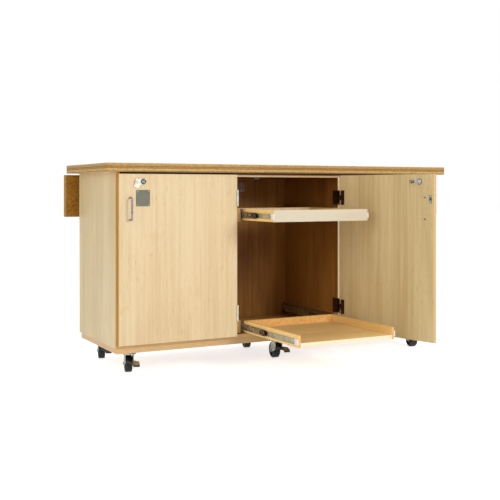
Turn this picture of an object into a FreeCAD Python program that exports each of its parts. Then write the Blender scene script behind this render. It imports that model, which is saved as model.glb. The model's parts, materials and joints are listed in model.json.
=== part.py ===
import FreeCAD, Part
import math
import os

# Mobile workbench in maple plywood: a 6 ft worktop on a three-bay carcass, a drop leaf hanging
# behind it, two hinged doors, two pull-out trays and six braked swivel casters.
# Millimetres. X runs along the front to the right, Y runs away from the front, Z is up from the floor.
# Shapes are built with X = 0 at the middle, Y = 0 at the carcass's front edges and Z = 0 on the floor.

# Worktop
TOP_LENGTH = 1828.8
TOP_DEPTH = 609.6
TOP_THICKNESS = 38.1
BENCH_HEIGHT = 929.6
TOP_CORNER_RADIUS = 12.7
TOP_ARRIS_RADIUS = 3.0
OVERHANG_SIDE = 50.8
OVERHANG_FRONT = 38.1
OVERHANG_BACK = 50.8

# Carcass
PANEL = 19.0
BACK_THICKNESS = 6.0
BASE_THICKNESS = 27.0
BASE_INSET = 7.6
SHELF_SETBACK = 24.0
SHELF_HEIGHT = 360.0
SHELF_CLEARANCE = 1.0
CLEAT_HEIGHT = 30.0
CLEAT_THICKNESS = 16.0
CLEAT_SETBACK = 40.0

# Doors, hinged at their right edges
DOOR_THICKNESS = 19.0
DOOR_GAP = 3.2
DOOR_SIDE_REVEAL = 8.0
DOOR_BETWEEN = 3.2
DOOR_BOTTOM_REVEAL = 11.7
DOOR_TOP_REVEAL = 9.1
MIDDLE_DOOR_REST = 103.0

# Five-knuckle door hinges
HINGE_HEIGHT = 70.0
HINGE_INSET = 107.0
HINGE_LEAF = 1.2
FRAME_LEAF_WIDTH = 45.0
DOOR_LEAF_WIDTH = 33.0
LEAF_NOTCH_WIDTH = 6.0
LEAF_NOTCH_HEIGHT = 22.0
LEAF_NOTCH_START = 4.0
BARREL_RADIUS = 4.0
BARREL_CLEARANCE = 0.3
HINGE_PIN_RADIUS = 2.0
PIN_FIT = 0.05
KNUCKLE_GAP = 0.4
KNUCKLES = 5
HINGE_SCREW_RADIUS = 3.6
HINGE_SCREW_HEIGHT = 0.8
HINGE_SCREW_RISE = 22.0

# Wire pulls. Drops are measured down from a door's top edge.
PULL_SPACING = 96.0
PULL_RADIUS = 4.0
PULL_PROJECTION = 35.0
PULL_BEND = 12.0
PULL_FROM_EDGE = 48.0
PULL_DROP = 151.2
PULL_SCREW_RADIUS = 4.5
PULL_SCREW_HEIGHT = 2.5

# Cam locks. The lever's outline is X and Z from the lock's axis.
LOCK_FROM_EDGE = 109.0
LOCK_DROP = 33.2
LOCK_FACE_RADIUS = 12.0
LOCK_FACE_THICKNESS = 3.0
LOCK_HOUSING_RADIUS = 9.5
LOCK_PLUG_RADIUS = 7.0
LOCK_NUT_RADIUS = 11.5
LOCK_NUT_THICKNESS = 4.0
LOCK_HOUSING_TAIL = 3.0
LEVER_THICKNESS = 2.5
LEVER_OUTLINE = (
    (12.0, 11.5), (-33.0, 13.5), (-45.0, -20.5), (-31.0, -29.0), (-17.0, -25.0), (-15.0, -15.0), (12.0, -11.0)
)
LEVER_CORNER = 2.0
CAM_LENGTH = 20.0
CAM_WIDTH = 12.0
CAM_THICKNESS = 2.5
CAM_SCREW_RADIUS = 4.0
CAM_SCREW_HEIGHT = 2.0
KEEPER_WIDTH = 26.0
KEEPER_DROP = 10.5
KEEPER_THICKNESS = 2.0
KEEPER_DEPTH = 24.0

# Label plate, magnetic catches and their strikes
LABEL_WIDTH = 63.0
LABEL_HEIGHT = 70.0
LABEL_THICKNESS = 1.5
LABEL_CORNER = 4.0
LABEL_DROP = 105.2
CATCH_WIDTH = 14.0
CATCH_DEPTH = 20.0
CATCH_HEIGHT = 46.0
CATCH_DROP = 110.2
STRIKE_THICKNESS = 1.5
STRIKE_HEIGHT = 35.0
STRIKE_FROM_EDGE = 17.0
CATCH_CLEARANCE = 0.5

# Trays on three-piece slides
TRAY_SETBACK = 4.0
TRAY_SIDE = 12.0
TRAY_HEIGHT = 52.0
TRAY_BOTTOM = 12.0
TRAY_SHORTER = 10.0
DECK_THICKNESS = 19.0
UPPER_TRAY_DROP = 147.9
LOWER_TRAY_RISE = 9.6
UPPER_TRAY_OUT = 299.0
LOWER_TRAY_HELD_BACK = 8.0
SLIDE_OVERTRAVEL = 8.0
SLIDE_BACK_SPACE = 10.7
SLIDE_WIDTH = 12.7
SLIDE_HEIGHT = 31.0
SLIDE_METAL = 1.5
SLIDE_BALL_GAP = 0.5
SLIDE_CENTRE = 24.0
MIDDLE_MEMBER_SETBACK = 50.0
MIDDLE_MEMBER_SHORTER = 60.0
MIDDLE_MEMBER_WEB = 4.5
DRAWER_MEMBER_REACH = 7.0
SLIDE_STOP_LENGTH = 18.0
SLIDE_STOP_HEIGHT = 22.0
SPACER_HEIGHT = 60.0

# Drop leaf and its hinges
LEAF_WIDTH = 203.0
LEAF_CORNER_RADIUS = 3.5
LEAF_JOINT_GAP = 1.0
LEAF_BARREL_RADIUS = 3.0
LEAF_BARREL_CLEARANCE = 0.2
LEAF_AXIS_INSET = 2.5
LEAF_PIN_RADIUS = 1.5
LEAF_HINGE_LENGTH = 80.0
LEAF_HINGE_PLATE = 34.0
LEAF_HINGE_METAL = 1.5
LEAF_HINGE_LAP = 1.0
LEAF_HINGE_COUNT = 4
LEAF_HINGE_END = 200.0

# Casters. The shoe's outline is X and Z from the pedal's pin.
CASTER_INSET_X = 92.0
CASTER_INSET_FRONT = 84.0
CASTER_INSET_REAR = 64.0
CASTER_PLATE = 66.0
CASTER_PLATE_THICKNESS = 3.0
RACE_RADIUS = 25.0
RACE_HEIGHT = 7.0
SWIVEL_GAP = 0.4
CROWN_RADIUS = 32.0
CROWN_THICKNESS = 4.6
CROWN_CLEARANCE = 10.4
KINGPIN_RADIUS = 6.0
KINGPIN_HEAD_RADIUS = 9.0
KINGPIN_HEAD = 3.0
TRAIL = 32.0
WHEEL_RADIUS = 38.1
WHEEL_WIDTH = 31.0
WHEEL_CORNER = 5.0
TYRE_THICKNESS = 11.6
DISH_DEPTH = 4.5
HUB_RADIUS = 13.0
HUB_CLEARANCE = 0.5
FORK_GAP = 34.0
FORK_METAL = 2.5
FORK_CORNER = 5.0
FORK_SHOULDER = 27.0
FORK_LEG_FRONT = 19.0
FORK_LEG_REAR = 22.0
FORK_EYE = 9.0
FORK_EYE_RISE = 8.0
AXLE_RADIUS = 4.0
AXLE_HEAD = 3.0
AXLE_HEAD_RADIUS = 6.5
PEDAL_PIN_RADIUS = 2.5
PEDAL_PIN_END = 1.0
PEDAL_PIN_ANGLE = 157.5
PEDAL_PIN_CLEARANCE = 11.4
PEDAL_SLEEVE_RADIUS = 5.5
PEDAL_WIDTH = 24.0
PEDAL_THICKNESS = 3.5
PEDAL_REACH = 60.0
PEDAL_TIP_HEIGHT = 45.0
PEDAL_LIP = 8.0
PEDAL_PAD_NEAR = 14.0
PEDAL_PAD_FAR = 41.0
PEDAL_PAD_LENGTH = 26.0
PEDAL_NECK_FRONT = 22.0
PEDAL_NECK_SIDE = 2.0
PEDAL_HEEL_TOP = 4.0
PEDAL_HEEL_BOTTOM = 2.0
SHOE_OUTLINE = ((-3.0, -3.0), (3.0, -3.0), (6.0, -11.0), (2.0, -13.0))
PLATE_BOLT_RADIUS = 4.0
PLATE_BOLT_HEAD = 2.5
PLATE_BOLT_INSET = 9.0

# The way each caster's wheel trails at rest, in degrees from +X, and the front middle one's place
TRAIL_ANGLES = {
    "front_left": 76.0,
    "front_middle": 84.0,
    "front_right": 261.0,
    "rear_left": 76.0,
    "rear_middle": 258.0,
    "rear_right": 84.0,
}
FRONT_MIDDLE_CASTER_X = -17.0

# Carcass places that follow from the sizes
CARCASS_LENGTH = TOP_LENGTH - 2 * OVERHANG_SIDE
CARCASS_DEPTH = TOP_DEPTH - OVERHANG_FRONT - OVERHANG_BACK
X_LEFT = -CARCASS_LENGTH / 2
X_RIGHT = CARCASS_LENGTH / 2
CASTER_HEIGHT = (
    2 * WHEEL_RADIUS
    + CROWN_CLEARANCE
    + CROWN_THICKNESS
    + SWIVEL_GAP
    + RACE_HEIGHT
    + CASTER_PLATE_THICKNESS
)
CARCASS_BOTTOM = CASTER_HEIGHT + BASE_THICKNESS
CARCASS_TOP = BENCH_HEIGHT - TOP_THICKNESS
INSIDE_DEPTH = CARCASS_DEPTH - BACK_THICKNESS
FLOOR_TOP = CARCASS_BOTTOM + PANEL
CEILING = CARCASS_TOP - PANEL
SHELF_BOTTOM = FLOOR_TOP + SHELF_HEIGHT
TOP_BACK = TOP_DEPTH - OVERHANG_FRONT

# Door places
DOOR_WIDTH = (CARCASS_LENGTH - 2 * DOOR_SIDE_REVEAL - 2 * DOOR_BETWEEN) / 3
DOOR_LEFT = X_LEFT + DOOR_SIDE_REVEAL
MIDDLE_DOOR_LEFT = DOOR_LEFT + DOOR_WIDTH + DOOR_BETWEEN
DIVIDER_LEFT = DOOR_LEFT + DOOR_WIDTH + DOOR_BETWEEN / 2
DIVIDER_RIGHT = DIVIDER_LEFT + DOOR_WIDTH + DOOR_BETWEEN
DOOR_BACK = -DOOR_GAP
DOOR_FRONT = DOOR_BACK - DOOR_THICKNESS
DOOR_BOTTOM = CARCASS_BOTTOM + DOOR_BOTTOM_REVEAL
DOOR_TOP = CARCASS_TOP - DOOR_TOP_REVEAL
HINGE_AXIS_Y = DOOR_FRONT - BARREL_RADIUS - BARREL_CLEARANCE
HINGE_HEIGHTS = (DOOR_BOTTOM + HINGE_INSET, DOOR_TOP - HINGE_INSET)
PULL_HEIGHT = DOOR_TOP - PULL_DROP
LOCK_HEIGHT = DOOR_TOP - LOCK_DROP
LABEL_HEIGHT_MIDDLE = DOOR_TOP - LABEL_DROP
CATCH_HEIGHT_MIDDLE = DOOR_TOP - CATCH_DROP

# Tray and slide places
SLIDE_LENGTH = INSIDE_DEPTH - TRAY_SETBACK - SLIDE_BACK_SPACE
SLIDE_TRAVEL = SLIDE_LENGTH + SLIDE_OVERTRAVEL
MIDDLE_MEMBER_LENGTH = SLIDE_LENGTH - MIDDLE_MEMBER_SHORTER
TRAY_LENGTH = SLIDE_LENGTH - TRAY_SHORTER
SLIDE_STACK = PANEL + SLIDE_WIDTH
TRAY_LEFT = DIVIDER_LEFT + PANEL / 2 + SLIDE_STACK
TRAY_RIGHT = DIVIDER_RIGHT - PANEL / 2 - SLIDE_STACK
UPPER_TRAY_BOTTOM = CEILING - UPPER_TRAY_DROP - TRAY_HEIGHT
LOWER_TRAY_BOTTOM = FLOOR_TOP + LOWER_TRAY_RISE
LOWER_TRAY_OUT = SLIDE_TRAVEL - LOWER_TRAY_HELD_BACK
TRAYS = (
    ("upper", UPPER_TRAY_BOTTOM, UPPER_TRAY_OUT),
    ("lower", LOWER_TRAY_BOTTOM, LOWER_TRAY_OUT),
)

# Leaf and caster places
LEAF_AXIS_Y = TOP_BACK - LEAF_AXIS_INSET
LEAF_AXIS_Z = CARCASS_TOP - LEAF_BARREL_RADIUS - LEAF_BARREL_CLEARANCE
CASTER_LEFT = X_LEFT + CASTER_INSET_X
CASTER_RIGHT = X_RIGHT - CASTER_INSET_X
CASTER_REAR = CARCASS_DEPTH - CASTER_INSET_REAR
CASTER_PLACES = {
    "front_left": (CASTER_LEFT, CASTER_INSET_FRONT),
    "front_middle": (FRONT_MIDDLE_CASTER_X, CASTER_INSET_FRONT),
    "front_right": (CASTER_RIGHT, CASTER_INSET_FRONT),
    "rear_left": (CASTER_LEFT, CASTER_REAR),
    "rear_middle": (0.0, CASTER_REAR),
    "rear_right": (CASTER_RIGHT, CASTER_REAR),
}
CROWN_TOP = CASTER_HEIGHT - CASTER_PLATE_THICKNESS - RACE_HEIGHT - SWIVEL_GAP
CROWN_LOW = CROWN_TOP - CROWN_THICKNESS
PEDAL_PIN_RING = WHEEL_RADIUS + PEDAL_PIN_CLEARANCE
PEDAL_PIVOT_X = TRAIL + PEDAL_PIN_RING * math.cos(math.radians(PEDAL_PIN_ANGLE))
PEDAL_PIVOT_Z = WHEEL_RADIUS + PEDAL_PIN_RING * math.sin(math.radians(PEDAL_PIN_ANGLE))

PARTS = {}


def vec(x, y, z):
    return FreeCAD.Vector(x, y, z)


def box(x0, x1, y0, y1, z0, z1):
    return Part.makeBox(x1 - x0, y1 - y0, z1 - z0, vec(x0, y0, z0))


def rod(radius, start, end):
    along = end - start
    return Part.makeCylinder(radius, along.Length, start, along)


def join(shapes):
    return shapes[0].multiFuse(shapes[1:]).removeSplitter()


def prism(points, along):
    """A closed outline of straight lines, pushed along a vector."""
    return Part.Face(Part.makePolygon(points + points[:1])).extrude(along)


def upright_edges(shape):
    return [e for e in shape.Edges if abs(e.tangentAt(e.FirstParameter).z) > 0.99]


def level_edges(shape):
    return [e for e in shape.Edges if abs(e.tangentAt(e.FirstParameter).z) < 0.01]


def round_edges(shape, radius, axis):
    """Round every straight edge that runs along the axis 'x', 'y' or 'z'."""
    picked = [
        e
        for e in shape.Edges
        if isinstance(e.Curve, Part.Line) and abs(getattr(e.tangentAt(e.FirstParameter), axis)) > 0.99
    ]
    return shape.makeFillet(radius, picked)


def turned(shape, centre, axis, degrees):
    copy = shape.copy()
    copy.rotate(centre, axis, degrees)
    return copy


def drawn(shape, travel):
    """The shape moved out of the front by the travel."""
    copy = shape.copy()
    copy.translate(vec(0, -travel, 0))
    return copy


def mirrored(shape, x):
    return shape.mirror(vec(x, 0, 0), vec(1, 0, 0))


# Worktop and carcass


def worktop():
    slab = box(
        -TOP_LENGTH / 2, TOP_LENGTH / 2, -OVERHANG_FRONT, TOP_BACK, CARCASS_TOP, BENCH_HEIGHT
    )
    slab = slab.makeFillet(TOP_CORNER_RADIUS, upright_edges(slab))
    return slab.makeFillet(TOP_ARRIS_RADIUS, level_edges(slab))


def carcass():
    PARTS["left_side_panel"] = box(X_LEFT, X_LEFT + PANEL, 0, CARCASS_DEPTH, CARCASS_BOTTOM, CARCASS_TOP)
    PARTS["right_side_panel"] = box(
        X_RIGHT - PANEL, X_RIGHT, 0, CARCASS_DEPTH, CARCASS_BOTTOM, CARCASS_TOP
    )
    inner_left = X_LEFT + PANEL
    inner_right = X_RIGHT - PANEL
    for name, middle in (("left_divider", DIVIDER_LEFT), ("right_divider", DIVIDER_RIGHT)):
        PARTS[name] = box(middle - PANEL / 2, middle + PANEL / 2, 0, INSIDE_DEPTH, FLOOR_TOP, CEILING)
    PARTS["top_panel"] = box(inner_left, inner_right, 0, INSIDE_DEPTH, CEILING, CARCASS_TOP)
    PARTS["bottom_panel"] = box(inner_left, inner_right, 0, INSIDE_DEPTH, CARCASS_BOTTOM, FLOOR_TOP)
    PARTS["back_panel"] = box(
        inner_left, inner_right, INSIDE_DEPTH, CARCASS_DEPTH, CARCASS_BOTTOM, CARCASS_TOP
    )
    PARTS["base_slab"] = box(
        X_LEFT + BASE_INSET,
        X_RIGHT - BASE_INSET,
        BASE_INSET,
        CARCASS_DEPTH - BASE_INSET,
        CASTER_HEIGHT,
        CARCASS_BOTTOM,
    )


def shelves():
    """One shelf in each outer bay, on a wooden cleat at each end."""
    bays = (
        ("left_bay_shelf", X_LEFT + PANEL, DIVIDER_LEFT - PANEL / 2),
        ("right_bay_shelf", DIVIDER_RIGHT + PANEL / 2, X_RIGHT - PANEL),
    )
    cleats = []
    for name, x0, x1 in bays:
        PARTS[name] = box(
            x0 + SHELF_CLEARANCE,
            x1 - SHELF_CLEARANCE,
            SHELF_SETBACK,
            INSIDE_DEPTH - SHELF_CLEARANCE,
            SHELF_BOTTOM,
            SHELF_BOTTOM + PANEL,
        )
        for start in (x0, x1 - CLEAT_THICKNESS):
            cleats.append(
                box(
                    start,
                    start + CLEAT_THICKNESS,
                    CLEAT_SETBACK,
                    INSIDE_DEPTH,
                    SHELF_BOTTOM - CLEAT_HEIGHT,
                    SHELF_BOTTOM,
                )
            )
    PARTS["shelf_cleats"] = cleats


# Doors. Each is built shut and then turned to its rest angle.


def hinge_leaf(axis_x, middle, own, plates, tab_x0, tab_x1, screws):
    """One leaf: its plates, its own knuckles with a tab each, the pin's bore and screw heads."""
    bottom = middle - HINGE_HEIGHT / 2
    pitch = HINGE_HEIGHT / KNUCKLES
    solids = plates + screws
    for number in own:
        low = bottom + number * pitch + KNUCKLE_GAP / 2
        high = bottom + (number + 1) * pitch - KNUCKLE_GAP / 2
        knuckle = rod(BARREL_RADIUS, vec(axis_x, HINGE_AXIS_Y, low), vec(axis_x, HINGE_AXIS_Y, high))
        tab = box(tab_x0, tab_x1, HINGE_AXIS_Y, DOOR_FRONT + BARREL_CLEARANCE, low, high)
        solids += [knuckle, tab]
    bore = rod(
        HINGE_PIN_RADIUS + PIN_FIT,
        vec(axis_x, HINGE_AXIS_Y, bottom),
        vec(axis_x, HINGE_AXIS_Y, bottom + HINGE_HEIGHT),
    )
    return join(solids).cut(bore)


def screw_spots(start, end, middle):
    """Three screws in a triangle on a leaf: places along the leaf, each with its height."""
    step = (end - start) / 4
    return (
        (start + step, middle + HINGE_SCREW_RISE),
        (start + step, middle - HINGE_SCREW_RISE),
        (end - step, middle),
    )


def frame_hinge_leaf(axis_x, middle):
    """The fixed leaf: back through the gap, along the divider's edge and onto its left face."""
    z0 = middle - HINGE_HEIGHT / 2
    z1 = middle + HINGE_HEIGHT / 2
    face = axis_x - PANEL / 2
    front = face - HINGE_LEAF
    half = HINGE_LEAF / 2
    neck = box(axis_x - half, axis_x + half, DOOR_FRONT, 0, z0, z1)
    edge = box(front, axis_x + half, -HINGE_LEAF, 0, z0, z1)
    wing = box(front, face, -HINGE_LEAF, FRAME_LEAF_WIDTH, z0, z1)
    screws = [
        rod(HINGE_SCREW_RADIUS, vec(front, y, z), vec(front - HINGE_SCREW_HEIGHT, y, z))
        for y, z in screw_spots(0, FRAME_LEAF_WIDTH, middle)
    ]
    own = range(0, KNUCKLES, 2)
    return hinge_leaf(axis_x, middle, own, [neck, edge, wing], axis_x - half, axis_x + half, screws)


def hinge_pin(axis_x, middle):
    """The pin with a half-round tip above and below the knuckles."""
    low = vec(axis_x, HINGE_AXIS_Y, middle - HINGE_HEIGHT / 2)
    high = vec(axis_x, HINGE_AXIS_Y, middle + HINGE_HEIGHT / 2)
    up = vec(0, 0, 1)
    lower = Part.makeSphere(BARREL_RADIUS, low, up, -90, 0, 360)
    upper = Part.makeSphere(BARREL_RADIUS, high, up, 0, 90, 360)
    return join([rod(HINGE_PIN_RADIUS, low, high), lower, upper])


def door_hinge_leaf(edge_x, middle):
    """The door's leaf: over the door's edge and onto its back, with a notch above and below its neck."""
    z0 = middle - HINGE_HEIGHT / 2
    z1 = middle + HINGE_HEIGHT / 2
    back = DOOR_BACK + HINGE_LEAF
    notch_x = edge_x - LEAF_NOTCH_START
    edge = box(edge_x - HINGE_LEAF, edge_x, DOOR_FRONT, back, z0, z1)
    wing = box(edge_x - DOOR_LEAF_WIDTH, edge_x, DOOR_BACK, back, z0, z1)
    for low in (z0, z1 - LEAF_NOTCH_HEIGHT):
        wing = wing.cut(box(notch_x - LEAF_NOTCH_WIDTH, notch_x, DOOR_BACK, back, low, low + LEAF_NOTCH_HEIGHT))
    screws = [
        rod(HINGE_SCREW_RADIUS, vec(x, back, z), vec(x, back + HINGE_SCREW_HEIGHT, z))
        for x, z in screw_spots(edge_x - DOOR_LEAF_WIDTH, notch_x, middle)
    ]
    own = range(1, KNUCKLES, 2)
    axis_x = edge_x + DOOR_BETWEEN / 2
    return hinge_leaf(axis_x, middle, own, [edge, wing], edge_x - HINGE_LEAF, edge_x, screws)


def door_panel(x0):
    """The door board, let in for its hinge leaves and bored for its lock."""
    x1 = x0 + DOOR_WIDTH
    panel = box(x0, x1, DOOR_FRONT, DOOR_BACK, DOOR_BOTTOM, DOOR_TOP)
    for middle in HINGE_HEIGHTS:
        z0 = middle - HINGE_HEIGHT / 2
        z1 = middle + HINGE_HEIGHT / 2
        panel = panel.cut(box(x1 - HINGE_LEAF, x1, DOOR_FRONT, DOOR_BACK, z0, z1))
    lock_x = x0 + LOCK_FROM_EDGE
    hole = rod(
        LOCK_HOUSING_RADIUS + PIN_FIT,
        vec(lock_x, DOOR_FRONT, LOCK_HEIGHT),
        vec(lock_x, DOOR_BACK, LOCK_HEIGHT),
    )
    return panel.cut(hole)


def wire_pull(x0):
    """A bent rod with two round corners, and its two screw heads on the door's back."""
    x = x0 + PULL_FROM_EDGE
    low = PULL_HEIGHT - PULL_SPACING / 2
    high = PULL_HEIGHT + PULL_SPACING / 2
    out = DOOR_FRONT - PULL_PROJECTION + PULL_RADIUS
    diagonal = PULL_BEND * (1 - math.sqrt(0.5))
    foot_low = vec(x, DOOR_FRONT, low)
    foot_high = vec(x, DOOR_FRONT, high)
    path = Part.Wire(
        [
            Part.LineSegment(foot_low, vec(x, out + PULL_BEND, low)).toShape(),
            Part.Arc(
                vec(x, out + PULL_BEND, low),
                vec(x, out + diagonal, low + diagonal),
                vec(x, out, low + PULL_BEND),
            ).toShape(),
            Part.LineSegment(vec(x, out, low + PULL_BEND), vec(x, out, high - PULL_BEND)).toShape(),
            Part.Arc(
                vec(x, out, high - PULL_BEND),
                vec(x, out + diagonal, high - diagonal),
                vec(x, out + PULL_BEND, high),
            ).toShape(),
            Part.LineSegment(vec(x, out + PULL_BEND, high), foot_high).toShape(),
        ]
    )
    section = Part.Wire([Part.Circle(foot_low, vec(0, 1, 0), PULL_RADIUS).toShape()])
    bar = path.makePipeShell([section], True, False)
    heads = [
        rod(PULL_SCREW_RADIUS, vec(x, DOOR_BACK, z), vec(x, DOOR_BACK + PULL_SCREW_HEIGHT, z))
        for z in (low, high)
    ]
    return [bar] + heads


def lock_body(x0):
    """The lock's round face, its housing through the door and the nut behind it."""
    x = x0 + LOCK_FROM_EDGE

    def ring(radius, y0, y1):
        return rod(radius, vec(x, y0, LOCK_HEIGHT), vec(x, y1, LOCK_HEIGHT))

    tail = DOOR_BACK + LOCK_NUT_THICKNESS + LOCK_HOUSING_TAIL
    body = join(
        [
            ring(LOCK_FACE_RADIUS, DOOR_FRONT - LOCK_FACE_THICKNESS, DOOR_FRONT),
            ring(LOCK_HOUSING_RADIUS, DOOR_FRONT, tail),
            ring(LOCK_NUT_RADIUS, DOOR_BACK, DOOR_BACK + LOCK_NUT_THICKNESS),
        ]
    )
    return body.cut(ring(LOCK_PLUG_RADIUS + PIN_FIT, DOOR_FRONT - LOCK_FACE_THICKNESS, tail))


def lock_rotor(x0):
    """The plug, the lever on the front and the cam behind, unlocked: the cam lies towards the hinge."""
    x = x0 + LOCK_FROM_EDGE
    lever_back = DOOR_FRONT - LOCK_FACE_THICKNESS - SWIVEL_GAP
    lever_front = lever_back - LEVER_THICKNESS
    cam_front = DOOR_BACK + LOCK_NUT_THICKNESS + LOCK_HOUSING_TAIL + SWIVEL_GAP
    cam_back = cam_front + CAM_THICKNESS
    plug = rod(LOCK_PLUG_RADIUS, vec(x, lever_front, LOCK_HEIGHT), vec(x, cam_back, LOCK_HEIGHT))
    screw = rod(
        CAM_SCREW_RADIUS,
        vec(x, cam_back, LOCK_HEIGHT),
        vec(x, cam_back + CAM_SCREW_HEIGHT, LOCK_HEIGHT),
    )
    corners = [vec(x + dx, lever_back, LOCK_HEIGHT + dz) for dx, dz in LEVER_OUTLINE]
    lever = round_edges(prism(corners, vec(0, -LEVER_THICKNESS, 0)), LEVER_CORNER, "y")
    cam = box(
        x - CAM_WIDTH / 2,
        x + CAM_LENGTH,
        cam_front,
        cam_back,
        LOCK_HEIGHT - CAM_WIDTH / 2,
        LOCK_HEIGHT + CAM_WIDTH / 2,
    )
    return join([plug, screw, lever, round_edges(cam, LEVER_CORNER, "y")])


def lock_keeper(x0):
    """A small angle under the top panel. The raised cam stands behind its hanging leg."""
    x = x0 + LOCK_FROM_EDGE
    left = x - KEEPER_WIDTH / 2
    right = x + KEEPER_WIDTH / 2
    leg = box(left, right, 0, KEEPER_THICKNESS, CEILING - KEEPER_DROP, CEILING)
    foot = box(left, right, 0, KEEPER_DEPTH, CEILING - KEEPER_THICKNESS, CEILING)
    return join([leg, foot])


def strike(x0):
    """The steel plate on a door's back that the magnet holds."""
    x = x0 + STRIKE_FROM_EDGE
    return box(
        x - CATCH_WIDTH / 2,
        x + CATCH_WIDTH / 2,
        DOOR_BACK,
        DOOR_BACK + STRIKE_THICKNESS,
        CATCH_HEIGHT_MIDDLE - STRIKE_HEIGHT / 2,
        CATCH_HEIGHT_MIDDLE + STRIKE_HEIGHT / 2,
    )


def catch(face_x):
    """A magnetic catch on the panel face that looks towards +X."""
    front = DOOR_BACK + STRIKE_THICKNESS + CATCH_CLEARANCE
    return box(
        face_x,
        face_x + CATCH_WIDTH,
        front,
        front + CATCH_DEPTH,
        CATCH_HEIGHT_MIDDLE - CATCH_HEIGHT / 2,
        CATCH_HEIGHT_MIDDLE + CATCH_HEIGHT / 2,
    )


def label_plate(x0):
    x = x0 + LOCK_FROM_EDGE
    plate = box(
        x - LABEL_WIDTH / 2,
        x + LABEL_WIDTH / 2,
        DOOR_FRONT - LABEL_THICKNESS,
        DOOR_FRONT,
        LABEL_HEIGHT_MIDDLE - LABEL_HEIGHT / 2,
        LABEL_HEIGHT_MIDDLE + LABEL_HEIGHT / 2,
    )
    return round_edges(plate, LABEL_CORNER, "y")


def doors():
    for side, x0, angle in (("left", DOOR_LEFT, 0.0), ("middle", MIDDLE_DOOR_LEFT, MIDDLE_DOOR_REST)):
        edge = x0 + DOOR_WIDTH
        centre = vec(edge + DOOR_BETWEEN / 2, HINGE_AXIS_Y, 0)
        pieces = {
            "door_panel": [door_panel(x0)],
            "door_pull": wire_pull(x0),
            "door_hinge_leaves": [door_hinge_leaf(edge, middle) for middle in HINGE_HEIGHTS],
            "door_lock_body": [lock_body(x0)],
            "door_strike": [strike(x0)],
            "door_lock_rotor": [lock_rotor(x0)],
        }
        for name, solids in pieces.items():
            PARTS[f"{side}_{name}"] = [turned(s, centre, vec(0, 0, 1), angle) for s in solids]
    PARTS["label_plate"] = label_plate(DOOR_LEFT)
    PARTS["door_hinge_frame_leaves"] = [
        make(axis_x, middle)
        for axis_x in (DIVIDER_LEFT, DIVIDER_RIGHT)
        for middle in HINGE_HEIGHTS
        for make in (frame_hinge_leaf, hinge_pin)
    ]
    PARTS["door_catches_and_keepers"] = [
        catch(X_LEFT + PANEL),
        catch(DIVIDER_LEFT + PANEL / 2),
        lock_keeper(DOOR_LEFT),
        lock_keeper(MIDDLE_DOOR_LEFT),
    ]


# Trays and slides


def channel(x_web, x_lips, height, y0, y1, middle):
    """A steel channel with its web at one X and its two flanges reaching to another."""
    inward = 1 if x_lips > x_web else -1
    web_x = sorted((x_web, x_web + inward * SLIDE_METAL))
    flange_x = sorted((x_web, x_lips))
    low = middle - height / 2
    high = middle + height / 2
    return join(
        [
            box(web_x[0], web_x[1], y0, y1, low, high),
            box(flange_x[0], flange_x[1], y0, y1, low, low + SLIDE_METAL),
            box(flange_x[0], flange_x[1], y0, y1, high - SLIDE_METAL, high),
        ]
    )


def slide_pair(face_left, face_right, middle, make):
    """A left slide piece, made from its outer face, and its mirror image for the right."""
    left = make(face_left, middle)
    return left + [mirrored(piece, (face_left + face_right) / 2) for piece in left]


def cabinet_member(face, middle):
    y0 = TRAY_SETBACK
    lips = face + SLIDE_WIDTH - SLIDE_METAL
    return [channel(face, lips, SLIDE_HEIGHT, y0, y0 + SLIDE_LENGTH, middle)]


def middle_member(face, middle):
    """The rail between the two others, with the stop block at its front end."""
    height = SLIDE_HEIGHT - 2 * SLIDE_METAL - 2 * SLIDE_BALL_GAP
    web = face + MIDDLE_MEMBER_WEB
    y0 = TRAY_SETBACK + MIDDLE_MEMBER_SETBACK
    rail = channel(web, face + SLIDE_WIDTH - SLIDE_METAL, height, y0, y0 + MIDDLE_MEMBER_LENGTH, middle)
    stop = box(
        face + SLIDE_METAL + SLIDE_BALL_GAP,
        web,
        y0,
        y0 + SLIDE_STOP_LENGTH,
        middle - SLIDE_STOP_HEIGHT / 2,
        middle + SLIDE_STOP_HEIGHT / 2,
    )
    return [rail, stop]


def drawer_member(face, middle):
    height = SLIDE_HEIGHT - 4 * SLIDE_METAL - 4 * SLIDE_BALL_GAP
    y0 = TRAY_SETBACK
    tray_face = face + SLIDE_WIDTH
    return [channel(tray_face, face + DRAWER_MEMBER_REACH, height, y0, y0 + SLIDE_LENGTH, middle)]


def slides():
    """Spacer blocks and slides for both trays, with each moving piece where its tray has drawn it."""
    left = DIVIDER_LEFT + PANEL / 2
    right = DIVIDER_RIGHT - PANEL / 2
    spacers = []
    cabinet = []
    for name, bottom, out in TRAYS:
        middle = bottom + SLIDE_CENTRE
        low = middle - SPACER_HEIGHT / 2
        high = middle + SPACER_HEIGHT / 2
        for x0 in (left, right - PANEL):
            spacers.append(box(x0, x0 + PANEL, TRAY_SETBACK, TRAY_SETBACK + SLIDE_LENGTH, low, high))
        faces = (left + PANEL, right - PANEL)
        cabinet += slide_pair(*faces, middle, cabinet_member)
        moved = {
            f"{name}_slide_middle_members": (middle_member, out / 2),
            f"{name}_tray_slide_members": (drawer_member, out),
        }
        for node, (make, travel) in moved.items():
            PARTS[node] = [drawn(piece, travel) for piece in slide_pair(*faces, middle, make)]
    PARTS["slide_spacers"] = spacers
    PARTS["slide_cabinet_members"] = cabinet


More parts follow.
